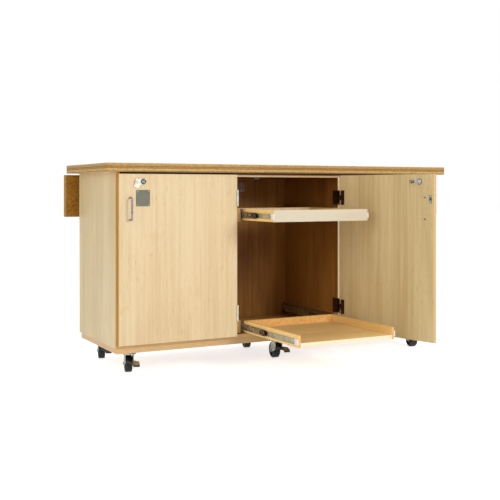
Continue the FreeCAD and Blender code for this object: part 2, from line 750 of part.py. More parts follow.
def trays():
    """Both trays' sides and backs, the upper tray's front and bottom and the lower tray's deck."""
    y0 = TRAY_SETBACK
    y1 = y0 + TRAY_LENGTH
    inner_left = TRAY_LEFT + TRAY_SIDE
    inner_right = TRAY_RIGHT - TRAY_SIDE
    inner_back = y1 - TRAY_SIDE
    for name, bottom, out in TRAYS:
        top = bottom + TRAY_HEIGHT
        side_front = y0 + TRAY_SIDE if name == "upper" else y0
        sides = [
            box(TRAY_LEFT, inner_left, side_front, y1, bottom, top),
            box(inner_right, TRAY_RIGHT, side_front, y1, bottom, top),
            box(inner_left, inner_right, inner_back, y1, bottom, top),
        ]
        PARTS[f"{name}_tray_sides"] = [drawn(piece, out) for piece in sides]
    low = UPPER_TRAY_BOTTOM
    front = box(TRAY_LEFT, TRAY_RIGHT, y0, y0 + TRAY_SIDE, low, low + TRAY_HEIGHT)
    floor = box(inner_left, inner_right, y0 + TRAY_SIDE, inner_back, low, low + TRAY_BOTTOM)
    PARTS["upper_tray_front"] = drawn(front, UPPER_TRAY_OUT)
    PARTS["upper_tray_bottom"] = drawn(floor, UPPER_TRAY_OUT)
    low = LOWER_TRAY_BOTTOM
    deck = box(inner_left, inner_right, y0, inner_back, low, low + DECK_THICKNESS)
    PARTS["lower_tray_deck"] = drawn(deck, LOWER_TRAY_OUT)


# Drop leaf. It is built raised, level with the worktop, and then turned down to hang.


def leaf_board():
    y0 = TOP_BACK + LEAF_JOINT_GAP
    board = box(-TOP_LENGTH / 2, TOP_LENGTH / 2, y0, y0 + LEAF_WIDTH, CARCASS_TOP, BENCH_HEIGHT)
    outer = [e for e in upright_edges(board) if e.Vertexes[0].Y > y0 + LEAF_WIDTH / 2]
    board = board.makeFillet(LEAF_CORNER_RADIUS, outer)
    return board.makeFillet(TOP_ARRIS_RADIUS, level_edges(board))


def leaf_hinge_knuckle(x0, x1, toward):
    """A knuckle and the tab that joins it to its plate, which lies toward -Y or +Y."""
    barrel = rod(LEAF_BARREL_RADIUS, vec(x0, LEAF_AXIS_Y, LEAF_AXIS_Z), vec(x1, LEAF_AXIS_Y, LEAF_AXIS_Z))
    reach = LEAF_AXIS_Y + toward * (LEAF_BARREL_RADIUS + LEAF_HINGE_LAP)
    ys = sorted((LEAF_AXIS_Y, reach))
    tab = box(x0, x1, ys[0], ys[1], CARCASS_TOP - LEAF_HINGE_METAL, CARCASS_TOP)
    return join([barrel, tab])


def leaf_hinge_half(middle, toward, spans):
    """One plate of a leaf hinge under the boards, with the knuckles that it carries."""
    near = LEAF_AXIS_Y + toward * (LEAF_BARREL_RADIUS + LEAF_BARREL_CLEARANCE)
    ys = sorted((near, near + toward * LEAF_HINGE_PLATE))
    x0 = middle - LEAF_HINGE_LENGTH / 2
    x1 = middle + LEAF_HINGE_LENGTH / 2
    plate = box(x0, x1, ys[0], ys[1], CARCASS_TOP - LEAF_HINGE_METAL, CARCASS_TOP)
    knuckles = [leaf_hinge_knuckle(middle + start, middle + end, toward) for start, end in spans]
    bore = rod(
        LEAF_PIN_RADIUS + PIN_FIT, vec(x0, LEAF_AXIS_Y, LEAF_AXIS_Z), vec(x1, LEAF_AXIS_Y, LEAF_AXIS_Z)
    )
    return join([plate] + knuckles).cut(bore)


def leaf_hinges():
    """Fixed halves and pins under the worktop, and moving halves under the raised leaf."""
    half = LEAF_HINGE_LENGTH / 2
    sixth = LEAF_HINGE_LENGTH / 6
    outer = ((-half, -sixth - KNUCKLE_GAP), (sixth + KNUCKLE_GAP, half))
    inner = ((-sixth, sixth),)
    first = -TOP_LENGTH / 2 + LEAF_HINGE_END
    step = (TOP_LENGTH - 2 * LEAF_HINGE_END) / (LEAF_HINGE_COUNT - 1)
    fixed = []
    moving = []
    for number in range(LEAF_HINGE_COUNT):
        middle = first + number * step
        pin = rod(
            LEAF_PIN_RADIUS,
            vec(middle - half, LEAF_AXIS_Y, LEAF_AXIS_Z),
            vec(middle + half, LEAF_AXIS_Y, LEAF_AXIS_Z),
        )
        fixed += [leaf_hinge_half(middle, -1, outer), pin]
        moving.append(leaf_hinge_half(middle, 1, inner))
    return fixed, moving


def drop_leaf():
    fixed, moving = leaf_hinges()
    down = (vec(0, LEAF_AXIS_Y, LEAF_AXIS_Z), vec(1, 0, 0), -90)
    PARTS["leaf_hinge_fixed_halves"] = fixed
    PARTS["leaf_hinge_moving_halves"] = [turned(piece, *down) for piece in moving]
    PARTS["drop_leaf"] = turned(leaf_board(), *down)


# Casters. Each is built about its swivel axis, with its wheel trailing towards +X.


def caster_plate():
    """The top plate with its bolt heads, the bearing race under it and the kingpin."""
    half = CASTER_PLATE / 2
    plate_low = CASTER_HEIGHT - CASTER_PLATE_THICKNESS
    race_low = plate_low - RACE_HEIGHT
    head_top = CROWN_LOW - SWIVEL_GAP
    plate = round_edges(box(-half, half, -half, half, plate_low, CASTER_HEIGHT), PLATE_BOLT_INSET / 2, "z")
    race = rod(RACE_RADIUS, vec(0, 0, race_low), vec(0, 0, plate_low))
    kingpin = rod(KINGPIN_RADIUS, vec(0, 0, head_top), vec(0, 0, race_low))
    head = rod(KINGPIN_HEAD_RADIUS, vec(0, 0, head_top - KINGPIN_HEAD), vec(0, 0, head_top))
    spot = half - PLATE_BOLT_INSET
    bolts = [
        rod(PLATE_BOLT_RADIUS, vec(x, y, plate_low - PLATE_BOLT_HEAD), vec(x, y, plate_low))
        for x in (-spot, spot)
        for y in (-spot, spot)
    ]
    return join([plate, race, kingpin, head] + bolts)


def caster_fork():
    """The crown under the race, two legs, the axle with its heads and the pedal's pin."""
    inner = FORK_GAP / 2
    outer = inner + FORK_METAL
    crown = rod(CROWN_RADIUS, vec(0, 0, CROWN_LOW), vec(0, 0, CROWN_TOP))
    outline = (
        (-FORK_LEG_FRONT, CROWN_LOW),
        (FORK_LEG_REAR, CROWN_LOW),
        (TRAIL + FORK_EYE, WHEEL_RADIUS + FORK_EYE_RISE),
        (TRAIL + FORK_EYE, WHEEL_RADIUS - FORK_EYE),
        (TRAIL - FORK_EYE, WHEEL_RADIUS - FORK_EYE),
        (-FORK_LEG_FRONT, WHEEL_RADIUS + FORK_EYE_RISE),
    )
    legs = [
        round_edges(prism([vec(x, y, z) for x, z in outline], vec(0, FORK_METAL, 0)), FORK_CORNER, "y")
        for y in (-outer, inner)
    ]
    shoulder = box(
        -FORK_SHOULDER / 2, FORK_SHOULDER / 2, -outer, outer, CROWN_LOW - FORK_METAL, CROWN_LOW + FORK_METAL
    )
    axle_ends = outer + AXLE_HEAD
    axle = rod(AXLE_RADIUS, vec(TRAIL, -outer, WHEEL_RADIUS), vec(TRAIL, outer, WHEEL_RADIUS))
    heads = [
        rod(AXLE_HEAD_RADIUS, vec(TRAIL, y, WHEEL_RADIUS), vec(TRAIL, y + AXLE_HEAD, WHEEL_RADIUS))
        for y in (-axle_ends, outer)
    ]
    pin_end = outer + PEDAL_PIN_END
    pin = rod(
        PEDAL_PIN_RADIUS,
        vec(PEDAL_PIVOT_X, -pin_end, PEDAL_PIVOT_Z),
        vec(PEDAL_PIVOT_X, pin_end, PEDAL_PIVOT_Z),
    )
    fork = join([crown, shoulder, axle, pin] + legs + heads)
    below = CROWN_LOW - 2 * FORK_METAL
    bore = rod(KINGPIN_RADIUS + PIN_FIT, vec(0, 0, below), vec(0, 0, CROWN_TOP))
    recess = rod(KINGPIN_HEAD_RADIUS + SWIVEL_GAP, vec(0, 0, below), vec(0, 0, CROWN_LOW))
    return fork.cut(bore).cut(recess)


def caster_wheel():
    """A wheel with a rounded tread, turned about its axle, with hub bosses and a bore."""

    def across(radius, y0, y1):
        return rod(radius, vec(TRAIL, y0, WHEEL_RADIUS), vec(TRAIL, y1, WHEEL_RADIUS))

    half = WHEEL_WIDTH / 2
    hub_half = FORK_GAP / 2 - HUB_CLEARANCE
    tread = across(WHEEL_RADIUS, -half, half)
    tread = tread.makeFillet(WHEEL_CORNER, [e for e in tread.Edges if isinstance(e.Curve, Part.Circle)])
    for y in (-half, half - DISH_DEPTH):
        tread = tread.cut(across(WHEEL_RADIUS - TYRE_THICKNESS, y, y + DISH_DEPTH))
    hub = across(HUB_RADIUS, -hub_half, hub_half)
    return join([tread, hub]).cut(across(AXLE_RADIUS + PIN_FIT, -hub_half, hub_half))


def brake_pedal():
    """A foot pedal on its pin, its pad set to one side, with a shoe that meets the tread when pressed."""
    half = PEDAL_WIDTH / 2
    sleeve_half = FORK_GAP / 2 - HUB_CLEARANCE
    x = PEDAL_PIVOT_X
    z = PEDAL_PIVOT_Z

    def along_pin(radius):
        return rod(radius, vec(x, -sleeve_half, z), vec(x, sleeve_half, z))

    arm_side = (
        (x, z + PEDAL_SLEEVE_RADIUS),
        (x - PEDAL_HEEL_TOP, z + PEDAL_SLEEVE_RADIUS),
        (-PEDAL_REACH + PEDAL_THICKNESS, PEDAL_TIP_HEIGHT + PEDAL_THICKNESS),
        (-PEDAL_REACH, PEDAL_TIP_HEIGHT),
        (-PEDAL_REACH, PEDAL_TIP_HEIGHT - PEDAL_LIP),
        (-PEDAL_REACH + PEDAL_THICKNESS, PEDAL_TIP_HEIGHT - PEDAL_LIP),
        (-PEDAL_REACH + 2 * PEDAL_THICKNESS, PEDAL_TIP_HEIGHT),
        (x - PEDAL_HEEL_BOTTOM, z - PEDAL_SLEEVE_RADIUS),
        (x, z - PEDAL_SLEEVE_RADIUS),
    )
    arm_plan = (
        (x, half),
        (-PEDAL_NECK_FRONT, half),
        (-PEDAL_REACH + PEDAL_PAD_LENGTH, -PEDAL_NECK_SIDE),
        (-PEDAL_REACH, -PEDAL_PAD_NEAR),
        (-PEDAL_REACH, -PEDAL_PAD_FAR),
        (-PEDAL_REACH + PEDAL_PAD_LENGTH, -PEDAL_PAD_FAR),
        (-PEDAL_NECK_FRONT, -half),
        (x, -half),
    )
    blade = prism([vec(px, -PEDAL_PAD_FAR, pz) for px, pz in arm_side], vec(0, PEDAL_PAD_FAR + half, 0))
    arm = blade.common(prism([vec(px, py, 0) for px, py in arm_plan], vec(0, 0, CROWN_LOW)))
    shoe = prism([vec(x + dx, -half, z + dz) for dx, dz in SHOE_OUTLINE], vec(0, PEDAL_WIDTH, 0))
    return join([along_pin(PEDAL_SLEEVE_RADIUS), arm, shoe]).cut(along_pin(PEDAL_PIN_RADIUS + PIN_FIT))


def casters():
    plates = []
    for name, (x, y) in CASTER_PLACES.items():
        place = vec(x, y, 0)
        plate = caster_plate()
        plate.translate(place)
        plates.append(plate)
        for kind, make in (("fork", caster_fork), ("wheel", caster_wheel), ("brake_pedal", brake_pedal)):
            piece = turned(make(), vec(0, 0, 0), vec(0, 0, 1), TRAIL_ANGLES[name])
            piece.translate(place)
            PARTS[f"{name}_{kind}"] = piece
    PARTS["caster_plates"] = plates


PARTS["worktop"] = worktop()
carcass()
shelves()
doors()
slides()
trays()
drop_leaf()
casters()

# The finished part stands with its origin on the floor below the middle of its rest size.
SOLIDS = {name: piece if isinstance(piece, list) else [piece] for name, piece in PARTS.items()}
Y_FRONT = min(s.BoundBox.YMin for s in SOLIDS["middle_door_panel"])
Y_BACK = SOLIDS["drop_leaf"][0].BoundBox.YMax
Y_SHIFT = -(Y_FRONT + Y_BACK) / 2

os.makedirs("parts", exist_ok=True)
for name, pieces in SOLIDS.items():
    for piece in pieces:
        piece.translate(vec(0, Y_SHIFT, 0))
    shape = pieces[0] if len(pieces) == 1 else Part.makeCompound(pieces)
    shape.exportStep(f"parts/{name}.step")
print(len(SOLIDS), "nodes, y shift", round(Y_SHIFT, 3))
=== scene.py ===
import json
import math

import bmesh
import bpy
from mathutils import Matrix, Vector


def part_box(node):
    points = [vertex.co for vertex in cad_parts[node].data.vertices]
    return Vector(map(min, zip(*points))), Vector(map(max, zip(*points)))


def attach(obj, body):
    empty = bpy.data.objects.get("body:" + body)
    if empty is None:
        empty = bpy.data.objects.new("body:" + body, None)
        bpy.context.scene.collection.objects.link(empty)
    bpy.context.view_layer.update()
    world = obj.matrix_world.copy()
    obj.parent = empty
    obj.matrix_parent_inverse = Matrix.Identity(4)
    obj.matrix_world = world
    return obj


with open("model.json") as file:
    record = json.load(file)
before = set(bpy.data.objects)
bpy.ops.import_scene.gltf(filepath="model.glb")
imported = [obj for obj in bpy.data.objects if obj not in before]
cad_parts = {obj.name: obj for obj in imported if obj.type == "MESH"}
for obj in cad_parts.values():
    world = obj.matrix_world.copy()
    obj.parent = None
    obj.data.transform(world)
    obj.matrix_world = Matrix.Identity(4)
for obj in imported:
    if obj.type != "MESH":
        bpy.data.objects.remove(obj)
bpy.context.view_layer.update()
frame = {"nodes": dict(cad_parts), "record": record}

LEFT_DOOR_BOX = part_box("left_door_panel")
DOOR_MIDDLE = (LEFT_DOOR_BOX[0][1] + LEFT_DOOR_BOX[1][1]) / 2
NODES = frame["nodes"]
JOINTS = {joint["name"]: joint for joint in frame["record"]["behaviour"]["joints"]}
MM = 0.001
LOCK_FACE_RADIUS = 12.0 * MM

# Where a wheel's hub and side wall end, measured from its axle, and where a pedal's pad starts beside its pin
HUB_EDGE = 25.0 * MM
TREAD_EDGE = 36.6 * MM
RING_BLUR = 1.6 * MM
PAD_START = 9.0 * MM
PAD_BLUR = 7.0 * MM

# Camera, fitted to the photograph's corners: metres, degrees and pixels of a 500 pixel frame
FRAME_PIXELS = 500
FOCAL_PIXELS = 907.329
CENTRE_PIXEL = (252.317, 189.527)
CAMERA_PLACE = (-2.171091, -3.7404, 0.814525)
CAMERA_YAW = 27.896
SENSOR_MM = 36.0

# Studio: how much the white surroundings light the bench, the floor, and each lamp's place, size and watts
ROOM_LIGHT = 0.5
FLOOR_SIZE = 40.0
FLOOR_DROP = 0.5 * MM
FLOOR_GLOW = 0.72
LAMP_AIM = (0.0, 0.0, 0.5)
LAMPS = (
    ("key", (1.5, -6.1, 2.85), 1.6, 160.0),
    ("fill", (-4.6, -2.2, 2.2), 2.6, 55.0),
    ("overhead", (0.0, 0.5, 4.2), 3.0, 60.0),
)

# The middle door stands open at rest by this angle
MIDDLE_DOOR_ANGLE = math.radians(103.0)
LEFT_AXIS = Vector(JOINTS["left_door_hinge"]["pos_m"])
MIDDLE_AXIS = Vector(JOINTS["middle_door_hinge"]["pos_m"])
LOCK_AXIS = Vector(JOINTS["left_lock_turn"]["pos_m"])
OPEN_DOOR = (
    Matrix.Translation(MIDDLE_AXIS)
    @ Matrix.Rotation(MIDDLE_DOOR_ANGLE, 4, "Z")
    @ Matrix.Translation(-LEFT_AXIS)
)
DOORS = (("left", None), ("middle", OPEN_DOOR))

# How wide a finish changes across a door's thickness, and how wide the painted shade on the right half's
# hinges sets in across the bench's middle
DOOR_BLUR = 1.0 * MM
HALF_BLUR = 10.0 * MM


def rgb(red, green, blue):
    """A colour written as sRGB 0-255, as the linear colour that a shader takes."""

    def one(value):
        value /= 255
        return value / 12.92 if value <= 0.04045 else ((value + 0.055) / 1.055) ** 2.4

    return (one(red), one(green), one(blue), 1.0)


def halved(colour):
    """The same colour at half its strength."""
    return tuple(0.5 * c for c in colour[:3]) + (1.0,)


class Graph:
    """Short calls for building one material's nodes."""

    def __init__(self, name, metallic=0.0):
        self.material = bpy.data.materials.new(name)
        self.material.use_nodes = True
        self.tree = self.material.node_tree
        self.shader = self.tree.nodes["Principled BSDF"]
        self.shader.inputs["Metallic"].default_value = metallic

    def node(self, kind, **settings):
        made = self.tree.nodes.new("ShaderNode" + kind)
        for key, value in settings.items():
            setattr(made, key, value)
        return made

    def feed(self, socket, value):
        """Link a socket, or set it where the value is a plain number, vector or colour."""
        if isinstance(value, bpy.types.NodeSocket):
            self.tree.links.new(value, socket)
        else:
            socket.default_value = value

    def math(self, operation, first, second=0.0):
        made = self.node("Math", operation=operation)
        self.feed(made.inputs[0], first)
        self.feed(made.inputs[1], second)
        return made.outputs[0]

    def vector(self, operation, first, second=(0.0, 0.0, 0.0)):
        made = self.node("VectorMath", operation=operation)
        self.feed(made.inputs[0], first)
        self.feed(made.inputs[1], second)
        return made.outputs["Value" if operation in ("LENGTH", "DOT_PRODUCT") else "Vector"]

    def span(self, value, low, high, to_low=0.0, to_high=1.0):
        """Map a value smoothly from one range to another and hold it at the ends."""
        made = self.node("MapRange", interpolation_type="SMOOTHSTEP")
        for socket, number in zip(made.inputs, (value, low, high, to_low, to_high)):
            self.feed(socket, number)
        return made.outputs[0]

    def blend(self, amount, first, second, mode="MIX"):
        made = self.node("Mix", data_type="RGBA", blend_type=mode)
        self.feed(made.inputs[0], amount)
        self.feed(made.inputs[6], first)
        self.feed(made.inputs[7], second)
        return made.outputs[2]

    def noise(self, vector, detail=3.0, roughness=0.55, distortion=0.0, scale=1.0):
        made = self.node("TexNoise")
        self.feed(made.inputs["Vector"], vector)
        made.inputs["Scale"].default_value = scale
        made.inputs["Detail"].default_value = detail
        made.inputs["Roughness"].default_value = roughness
        made.inputs["Distortion"].default_value = distortion
        return made.outputs[0]

    def ramp(self, value, *stops):
        """A row of colours along a value from 0 to 1, each stop a place and a colour."""
        made = self.node("ValToRGB")
        elements = made.color_ramp.elements
        while len(elements) < len(stops):
            elements.new(1.0)
        for element, (place, colour) in zip(elements, stops):
            element.position = place
            element.color = colour
        self.feed(made.inputs[0], value)
        return made.outputs[0]

    def bump(self, height, strength, distance):
        made = self.node("Bump")
        made.inputs["Strength"].default_value = strength
        made.inputs["Distance"].default_value = distance
        self.feed(made.inputs["Height"], height)
        self.feed(self.shader.inputs["Normal"], made.outputs[0])

    def local(self, opened=False, origin=(0.0, 0.0, 0.0)):
        """The point and normal in the object, as for a shut door where the open one is drawn."""
        source = self.node("TexCoord")
        point = self.vector("SUBTRACT", source.outputs["Object"], tuple(MIDDLE_AXIS) if opened else origin)
        normal = source.outputs["Normal"]
        if not opened:
            return point, normal
        back = []
        for value in (point, normal):
            turn = self.node("VectorRotate", rotation_type="Z_AXIS")
            self.feed(turn.inputs["Vector"], value)
            turn.inputs["Angle"].default_value = -MIDDLE_DOOR_ANGLE
            back.append(turn.outputs[0])
        return back

    def split(self, vector):
        made = self.node("SeparateXYZ")
        self.feed(made.inputs[0], vector)
        return made.outputs


def along(axis, lengthwise, across):
    """Noise scales per metre: one along the grain's axis and another across it."""
    scales = [across] * 3
    scales["XYZ".index(axis)] = lengthwise
    return tuple(scales)


def wood(
    name, light, dark, grain, through, edge=None, plies=0.0, seed=0.0, fleck=0.3, roughness=0.42,
    opened=False, layers=None, back=None,
):
    """Lacquered plywood or maple. The grain runs along one axis and the board is thin through another.

    The edge is a pair of colours, shown as plies of the given thickness or as one banded strip, unless
    layers gives the board's underside and top, how blotched it is and a row of colours up through it. back
    is a pair of colours for the far face.
    """
    g = Graph(name)
    point, normal = g.local(opened)
    placed = g.vector("ADD", point, (seed, 1.7 * seed, 0.6 * seed))
    deep = halved(dark)
    warm = (0.84 * dark[0], 0.66 * dark[1], 0.46 * dark[2], 1.0)
    axes = g.split(normal)
    if back:
        rear = g.span(axes[1], 0.5, 0.8)
        light, dark = (g.blend(rear, *pair) for pair in zip((light, dark), back))
    broad = g.noise(g.vector("MULTIPLY", placed, along(grain, 0.8, 5.0)), 3.0, 0.5, 0.8)
    streaks = g.noise(g.vector("MULTIPLY", placed, along(grain, 1.6, 60.0)), 4.0, 0.62, 0.2)
    fibres = g.noise(g.vector("MULTIPLY", placed, along(grain, 26.0, 620.0)), 3.0, 0.6)
    dashes = g.noise(g.vector("MULTIPLY", placed, along(grain, 28.0, 200.0)), 2.0, 0.5)
    patches = g.noise(placed, 3.0, 0.5, 0.4, scale=5.0)
    stains = g.noise(placed, 4.0, 0.6, 0.5, scale=9.0)
    tone = g.math("ADD", g.math("MULTIPLY", broad, 0.55), g.math("MULTIPLY", streaks, 0.45))
    colour = g.blend(g.span(tone, 0.38, 0.64), light, dark)
    colour = g.blend(g.span(fibres, 0.3, 0.75, 0.0, 0.18), colour, dark)
    flecked = g.math("MULTIPLY", g.span(dashes, 0.56, 0.72), g.span(patches, 0.42, 0.62, 0.15, 1.0))
    colour = g.blend(g.math("MULTIPLY", flecked, fleck), colour, warm)
    colour = g.blend(g.span(stains, 0.58, 0.8, 0.0, 0.2), colour, warm)
    grit = g.noise(placed, 2.0, 0.6, scale=900.0)
    height = g.math("ADD", g.math("MULTIPLY", fibres, 0.8), g.math("MULTIPLY", dashes, 0.5))
    if edge or layers:
        facing = g.math("ABSOLUTE", axes["XYZ".index(through)])
        on_edge = g.span(facing, 0.45, 0.7, 1.0, 0.0)
        depth = g.split(point)["XYZ".index(through)]
        ragged = g.noise(g.vector("MULTIPLY", placed, (30.0, 30.0, 30.0)), 2.0)
        pores = g.noise(g.vector("MULTIPLY", placed, (420.0, 420.0, 420.0)), 3.0, 0.7)
        speckle = 0.35
        if layers:
            low, high, blotched, stops = layers
            rise = g.node("MapRange")
            for socket, value in zip(rise.inputs, (depth, low, high)):
                g.feed(socket, value)
            wavy = g.math("ADD", rise.outputs[0], g.math("MULTIPLY", g.math("SUBTRACT", ragged, 0.5), 0.05))
            strip = g.ramp(wavy, *stops)
            blotches = g.noise(g.vector("MULTIPLY", placed, (110.0, 110.0, 240.0)), 3.0, 0.75)
            strip = g.blend(g.span(blotches, 0.44, 0.62, 0.0, blotched), strip, rgb(130, 92, 42))
            speckle = 0.55
        elif plies:
            wave = g.math("ADD", depth, g.math("MULTIPLY", ragged, 0.0005))
            wave = g.math("SINE", g.math("MULTIPLY", wave, math.pi / plies))
            strip = g.blend(g.span(wave, -0.35, 0.35), edge[0], edge[1])
            glue = g.span(g.math("ABSOLUTE", wave), 0.0, 0.3, 0.4, 0.0)
            strip = g.blend(glue, strip, deep)
        else:
            strip = g.blend(g.span(streaks, 0.35, 0.7), edge[0], edge[1])
        strip = g.blend(g.span(pores, 0.5, 0.75, 0.0, speckle), strip, deep)
        colour = g.blend(on_edge, colour, strip)
        height = g.math("ADD", height, g.math("MULTIPLY", pores, 0.6))
    g.feed(g.shader.inputs["Base Color"], colour)
    rough = g.math("ADD", g.math("MULTIPLY", fibres, 0.16), g.math("MULTIPLY", stains, 0.18))
    g.feed(g.shader.inputs["Roughness"], g.math("ADD", rough, roughness - 0.17))
    g.shader.inputs["Specular IOR Level"].default_value = 0.25
    g.shader.inputs["Coat Weight"].default_value = 0.04
    g.shader.inputs["Coat Roughness"].default_value = 0.35
    g.bump(g.math("ADD", height, g.math("MULTIPLY", grit, 0.3)), 0.22, 0.0004)
    return g.material


def hardboard(name, light, dark, edge):
    """Brown particle board: an even mottle of chips, with a paler sawn edge."""
    g = Graph(name)
    point, normal = g.local()
    chips = g.noise(g.vector("MULTIPLY", point, (170.0, 170.0, 220.0)), 4.0, 0.8)
    clouds = g.noise(point, 4.0, 0.6, 0.5, scale=14.0)
    colour = g.blend(g.span(g.math("ADD", g.math("MULTIPLY", chips, 0.8), g.math("MULTIPLY", clouds, 0.2)),
                            0.38, 0.64), light, dark)
    ends = g.span(g.math("ABSOLUTE", g.split(normal)[1]), 0.45, 0.7, 1.0, 0.0)
    colour = g.blend(g.math("MULTIPLY", ends, g.span(chips, 0.35, 0.7, 1.0, 0.45)), colour, edge)
    g.feed(g.shader.inputs["Base Color"], colour)
    g.feed(g.shader.inputs["Roughness"], g.span(chips, 0.3, 0.7, 0.5, 0.68))
    g.shader.inputs["Specular IOR Level"].default_value = 0.25
    g.bump(chips, 0.3, 0.0004)
    return g.material


def metal(name, bright, dull, roughness, brushed=None, spangle=60.0, metallic=1.0, right=None):
    """Plated or bare metal with cloudy patches, fine scratches and a little grime.

    right is a pair of darker colours for what lies on the bench's right half, a painted shade.
    """
    g = Graph(name, metallic)
    point = g.local()[0]
    cloud = g.noise(point, 4.0, 0.6, 0.6, scale=spangle)
    lines = g.noise(g.vector("MULTIPLY", point, along(brushed or "X", 40.0, 1500.0)), 3.0, 0.6)
    speck = g.noise(point, 2.0, 0.6, scale=1400.0)
    colour = g.blend(g.span(cloud, 0.35, 0.7), bright, dull)
    if right:
        other = g.blend(g.span(cloud, 0.35, 0.7), *right)
        colour = g.blend(g.span(g.split(point)[0], -HALF_BLUR, HALF_BLUR), colour, other)
    colour = g.blend(g.span(speck, 0.6, 0.8, 0.0, 0.3), colour, halved(dull))
    g.feed(g.shader.inputs["Base Color"], colour)
    spread = g.math("ADD", g.math("MULTIPLY", cloud, 0.2), g.math("MULTIPLY", lines, 0.16))
    g.feed(g.shader.inputs["Roughness"], g.math("ADD", spread, roughness - 0.18))
    g.bump(g.math("ADD", lines, speck), 0.12, 0.0002)
    return g.material


def moulded(name, colour, worn, roughness, grain=900.0):
    """Moulded plastic or paint: an even grain and rubbed patches."""
    g = Graph(name)
    point = g.local()[0]
    patches = g.noise(point, 4.0, 0.6, 0.8, scale=35.0)
    fine = g.noise(point, 3.0, 0.6, scale=grain)
    tint = g.blend(g.span(patches, 0.45, 0.75, 0.0, 0.7), colour, worn)
    g.feed(g.shader.inputs["Base Color"], tint)
    uneven = g.math("ADD", patches, fine)
    g.feed(g.shader.inputs["Roughness"], g.span(uneven, 0.6, 1.4, roughness - 0.1, roughness + 0.12))
    g.bump(fine, 0.3, 0.00025)
    return g.material


def behind_door(g, point):
    """One behind the middle of a door's thickness and none in front of it."""
    return g.span(g.split(point)[1], DOOR_MIDDLE - DOOR_BLUR, DOOR_MIDDLE + DOOR_BLUR)


def lock_finish(name, opened):
    """A cam lock's body: black where it shows on the door's front, bright steel behind the front."""
    g = Graph(name)
    point = g.local(opened)[0]
    wear = g.noise(point, 4.0, 0.6, 0.5, scale=240.0)
    behind = behind_door(g, point)
    steel = g.blend(g.span(wear, 0.4, 0.7), rgb(212, 214, 218), rgb(150, 152, 156))
    black = g.blend(g.span(wear, 0.5, 0.8), rgb(26, 25, 26), rgb(50, 48, 48))
    g.feed(g.shader.inputs["Base Color"], g.blend(behind, black, steel))
    g.feed(g.shader.inputs["Metallic"], behind)
    g.feed(g.shader.inputs["Roughness"], g.span(wear, 0.3, 0.8, 0.3, 0.44))
    g.bump(wear, 0.15, 0.0002)
    return g.material


def lever_finish(name, opened):
    """A lock's lever in pale nickel on the door's front, and its cam in yellow zinc behind the door."""
    g = Graph(name, 1.0)
    point = g.local(opened)[0]
    cloud = g.noise(point, 4.0, 0.6, 0.6, scale=90.0)
    speck = g.noise(point, 2.0, 0.6, scale=1400.0)
    behind = behind_door(g, point)
    nickel = g.blend(g.span(cloud, 0.35, 0.7), rgb(190, 186, 174), rgb(158, 152, 138))
    yellow = g.blend(g.span(cloud, 0.35, 0.7), rgb(176, 148, 96), rgb(140, 112, 66))
    colour = g.blend(behind, nickel, yellow)
    colour = g.blend(g.span(speck, 0.6, 0.8, 0.0, 0.3), colour, rgb(96, 88, 74))
    g.feed(g.shader.inputs["Base Color"], colour)
    g.feed(g.shader.inputs["Roughness"], g.span(cloud, 0.3, 0.8, 0.38, 0.55))
    g.bump(speck, 0.12, 0.0002)
    return g.material


def wheel(name, centre):
    """A caster wheel: a dark tread, a paler teal ring where it rolls, partly scuffs and partly painted sheen,
    and a paler hub.
    """
    g = Graph(name)
    point = g.local(origin=tuple(centre))[0]
    radius = g.vector("LENGTH", point)
    fine = g.noise(point, 3.0, 0.65, scale=800.0)
    patches = g.noise(point, 4.0, 0.6, 0.7, scale=55.0)
    tyre = g.blend(g.span(patches, 0.4, 0.75), rgb(10, 15, 14), rgb(26, 33, 31))
    hub = g.blend(g.span(patches, 0.4, 0.75), rgb(36, 40, 38), rgb(20, 23, 22))
    colour = g.blend(g.span(radius, HUB_EDGE, HUB_EDGE + RING_BLUR), hub, tyre)
    # The ring where the wheel rolls turns paler teal: scuffs, and a painted sheen on the tread
    rolls = g.span(radius, TREAD_EDGE, TREAD_EDGE + RING_BLUR)
    scuffs_and_sheen = g.math("MULTIPLY", rolls, g.span(patches, 0.35, 0.6))
    colour = g.blend(g.math("MULTIPLY", scuffs_and_sheen, 0.6), colour, rgb(50, 62, 60))
    g.feed(g.shader.inputs["Base Color"], colour)
    g.feed(g.shader.inputs["Roughness"], g.span(patches, 0.3, 0.8, 0.45, 0.7))
    g.shader.inputs["Specular IOR Level"].default_value = 0.3
    g.bump(fine, 0.3, 0.0003)
    return g.material


def pedal(name, pin, side):
    """A brake pedal: near black, with tan dust on top of the pad that lies to one side of its pin."""
    g = Graph(name)
    point, normal = g.local(origin=tuple(pin))
    fine = g.noise(point, 3.0, 0.6, scale=900.0)
    patches = g.noise(point, 4.0, 0.6, 0.8, scale=90.0)
    colour = g.blend(g.span(patches, 0.45, 0.75), rgb(22, 20, 18), rgb(44, 40, 34))
    pad = g.span(g.vector("DOT_PRODUCT", point, tuple(side)), PAD_START, PAD_START + PAD_BLUR)
    up = g.span(g.split(normal)[2], 0.3, 0.95)
    dusty = g.math("MULTIPLY", g.math("MULTIPLY", pad, up), g.span(patches, 0.35, 0.65, 0.45, 1.0))
    colour = g.blend(dusty, colour, g.blend(fine, rgb(150, 132, 92), rgb(206, 188, 146)))
    g.feed(g.shader.inputs["Base Color"], colour)
    g.feed(g.shader.inputs["Roughness"], g.span(g.math("ADD", patches, fine), 0.6, 1.4, 0.4, 0.62))
    g.bump(fine, 0.3, 0.00025)
    return g.material


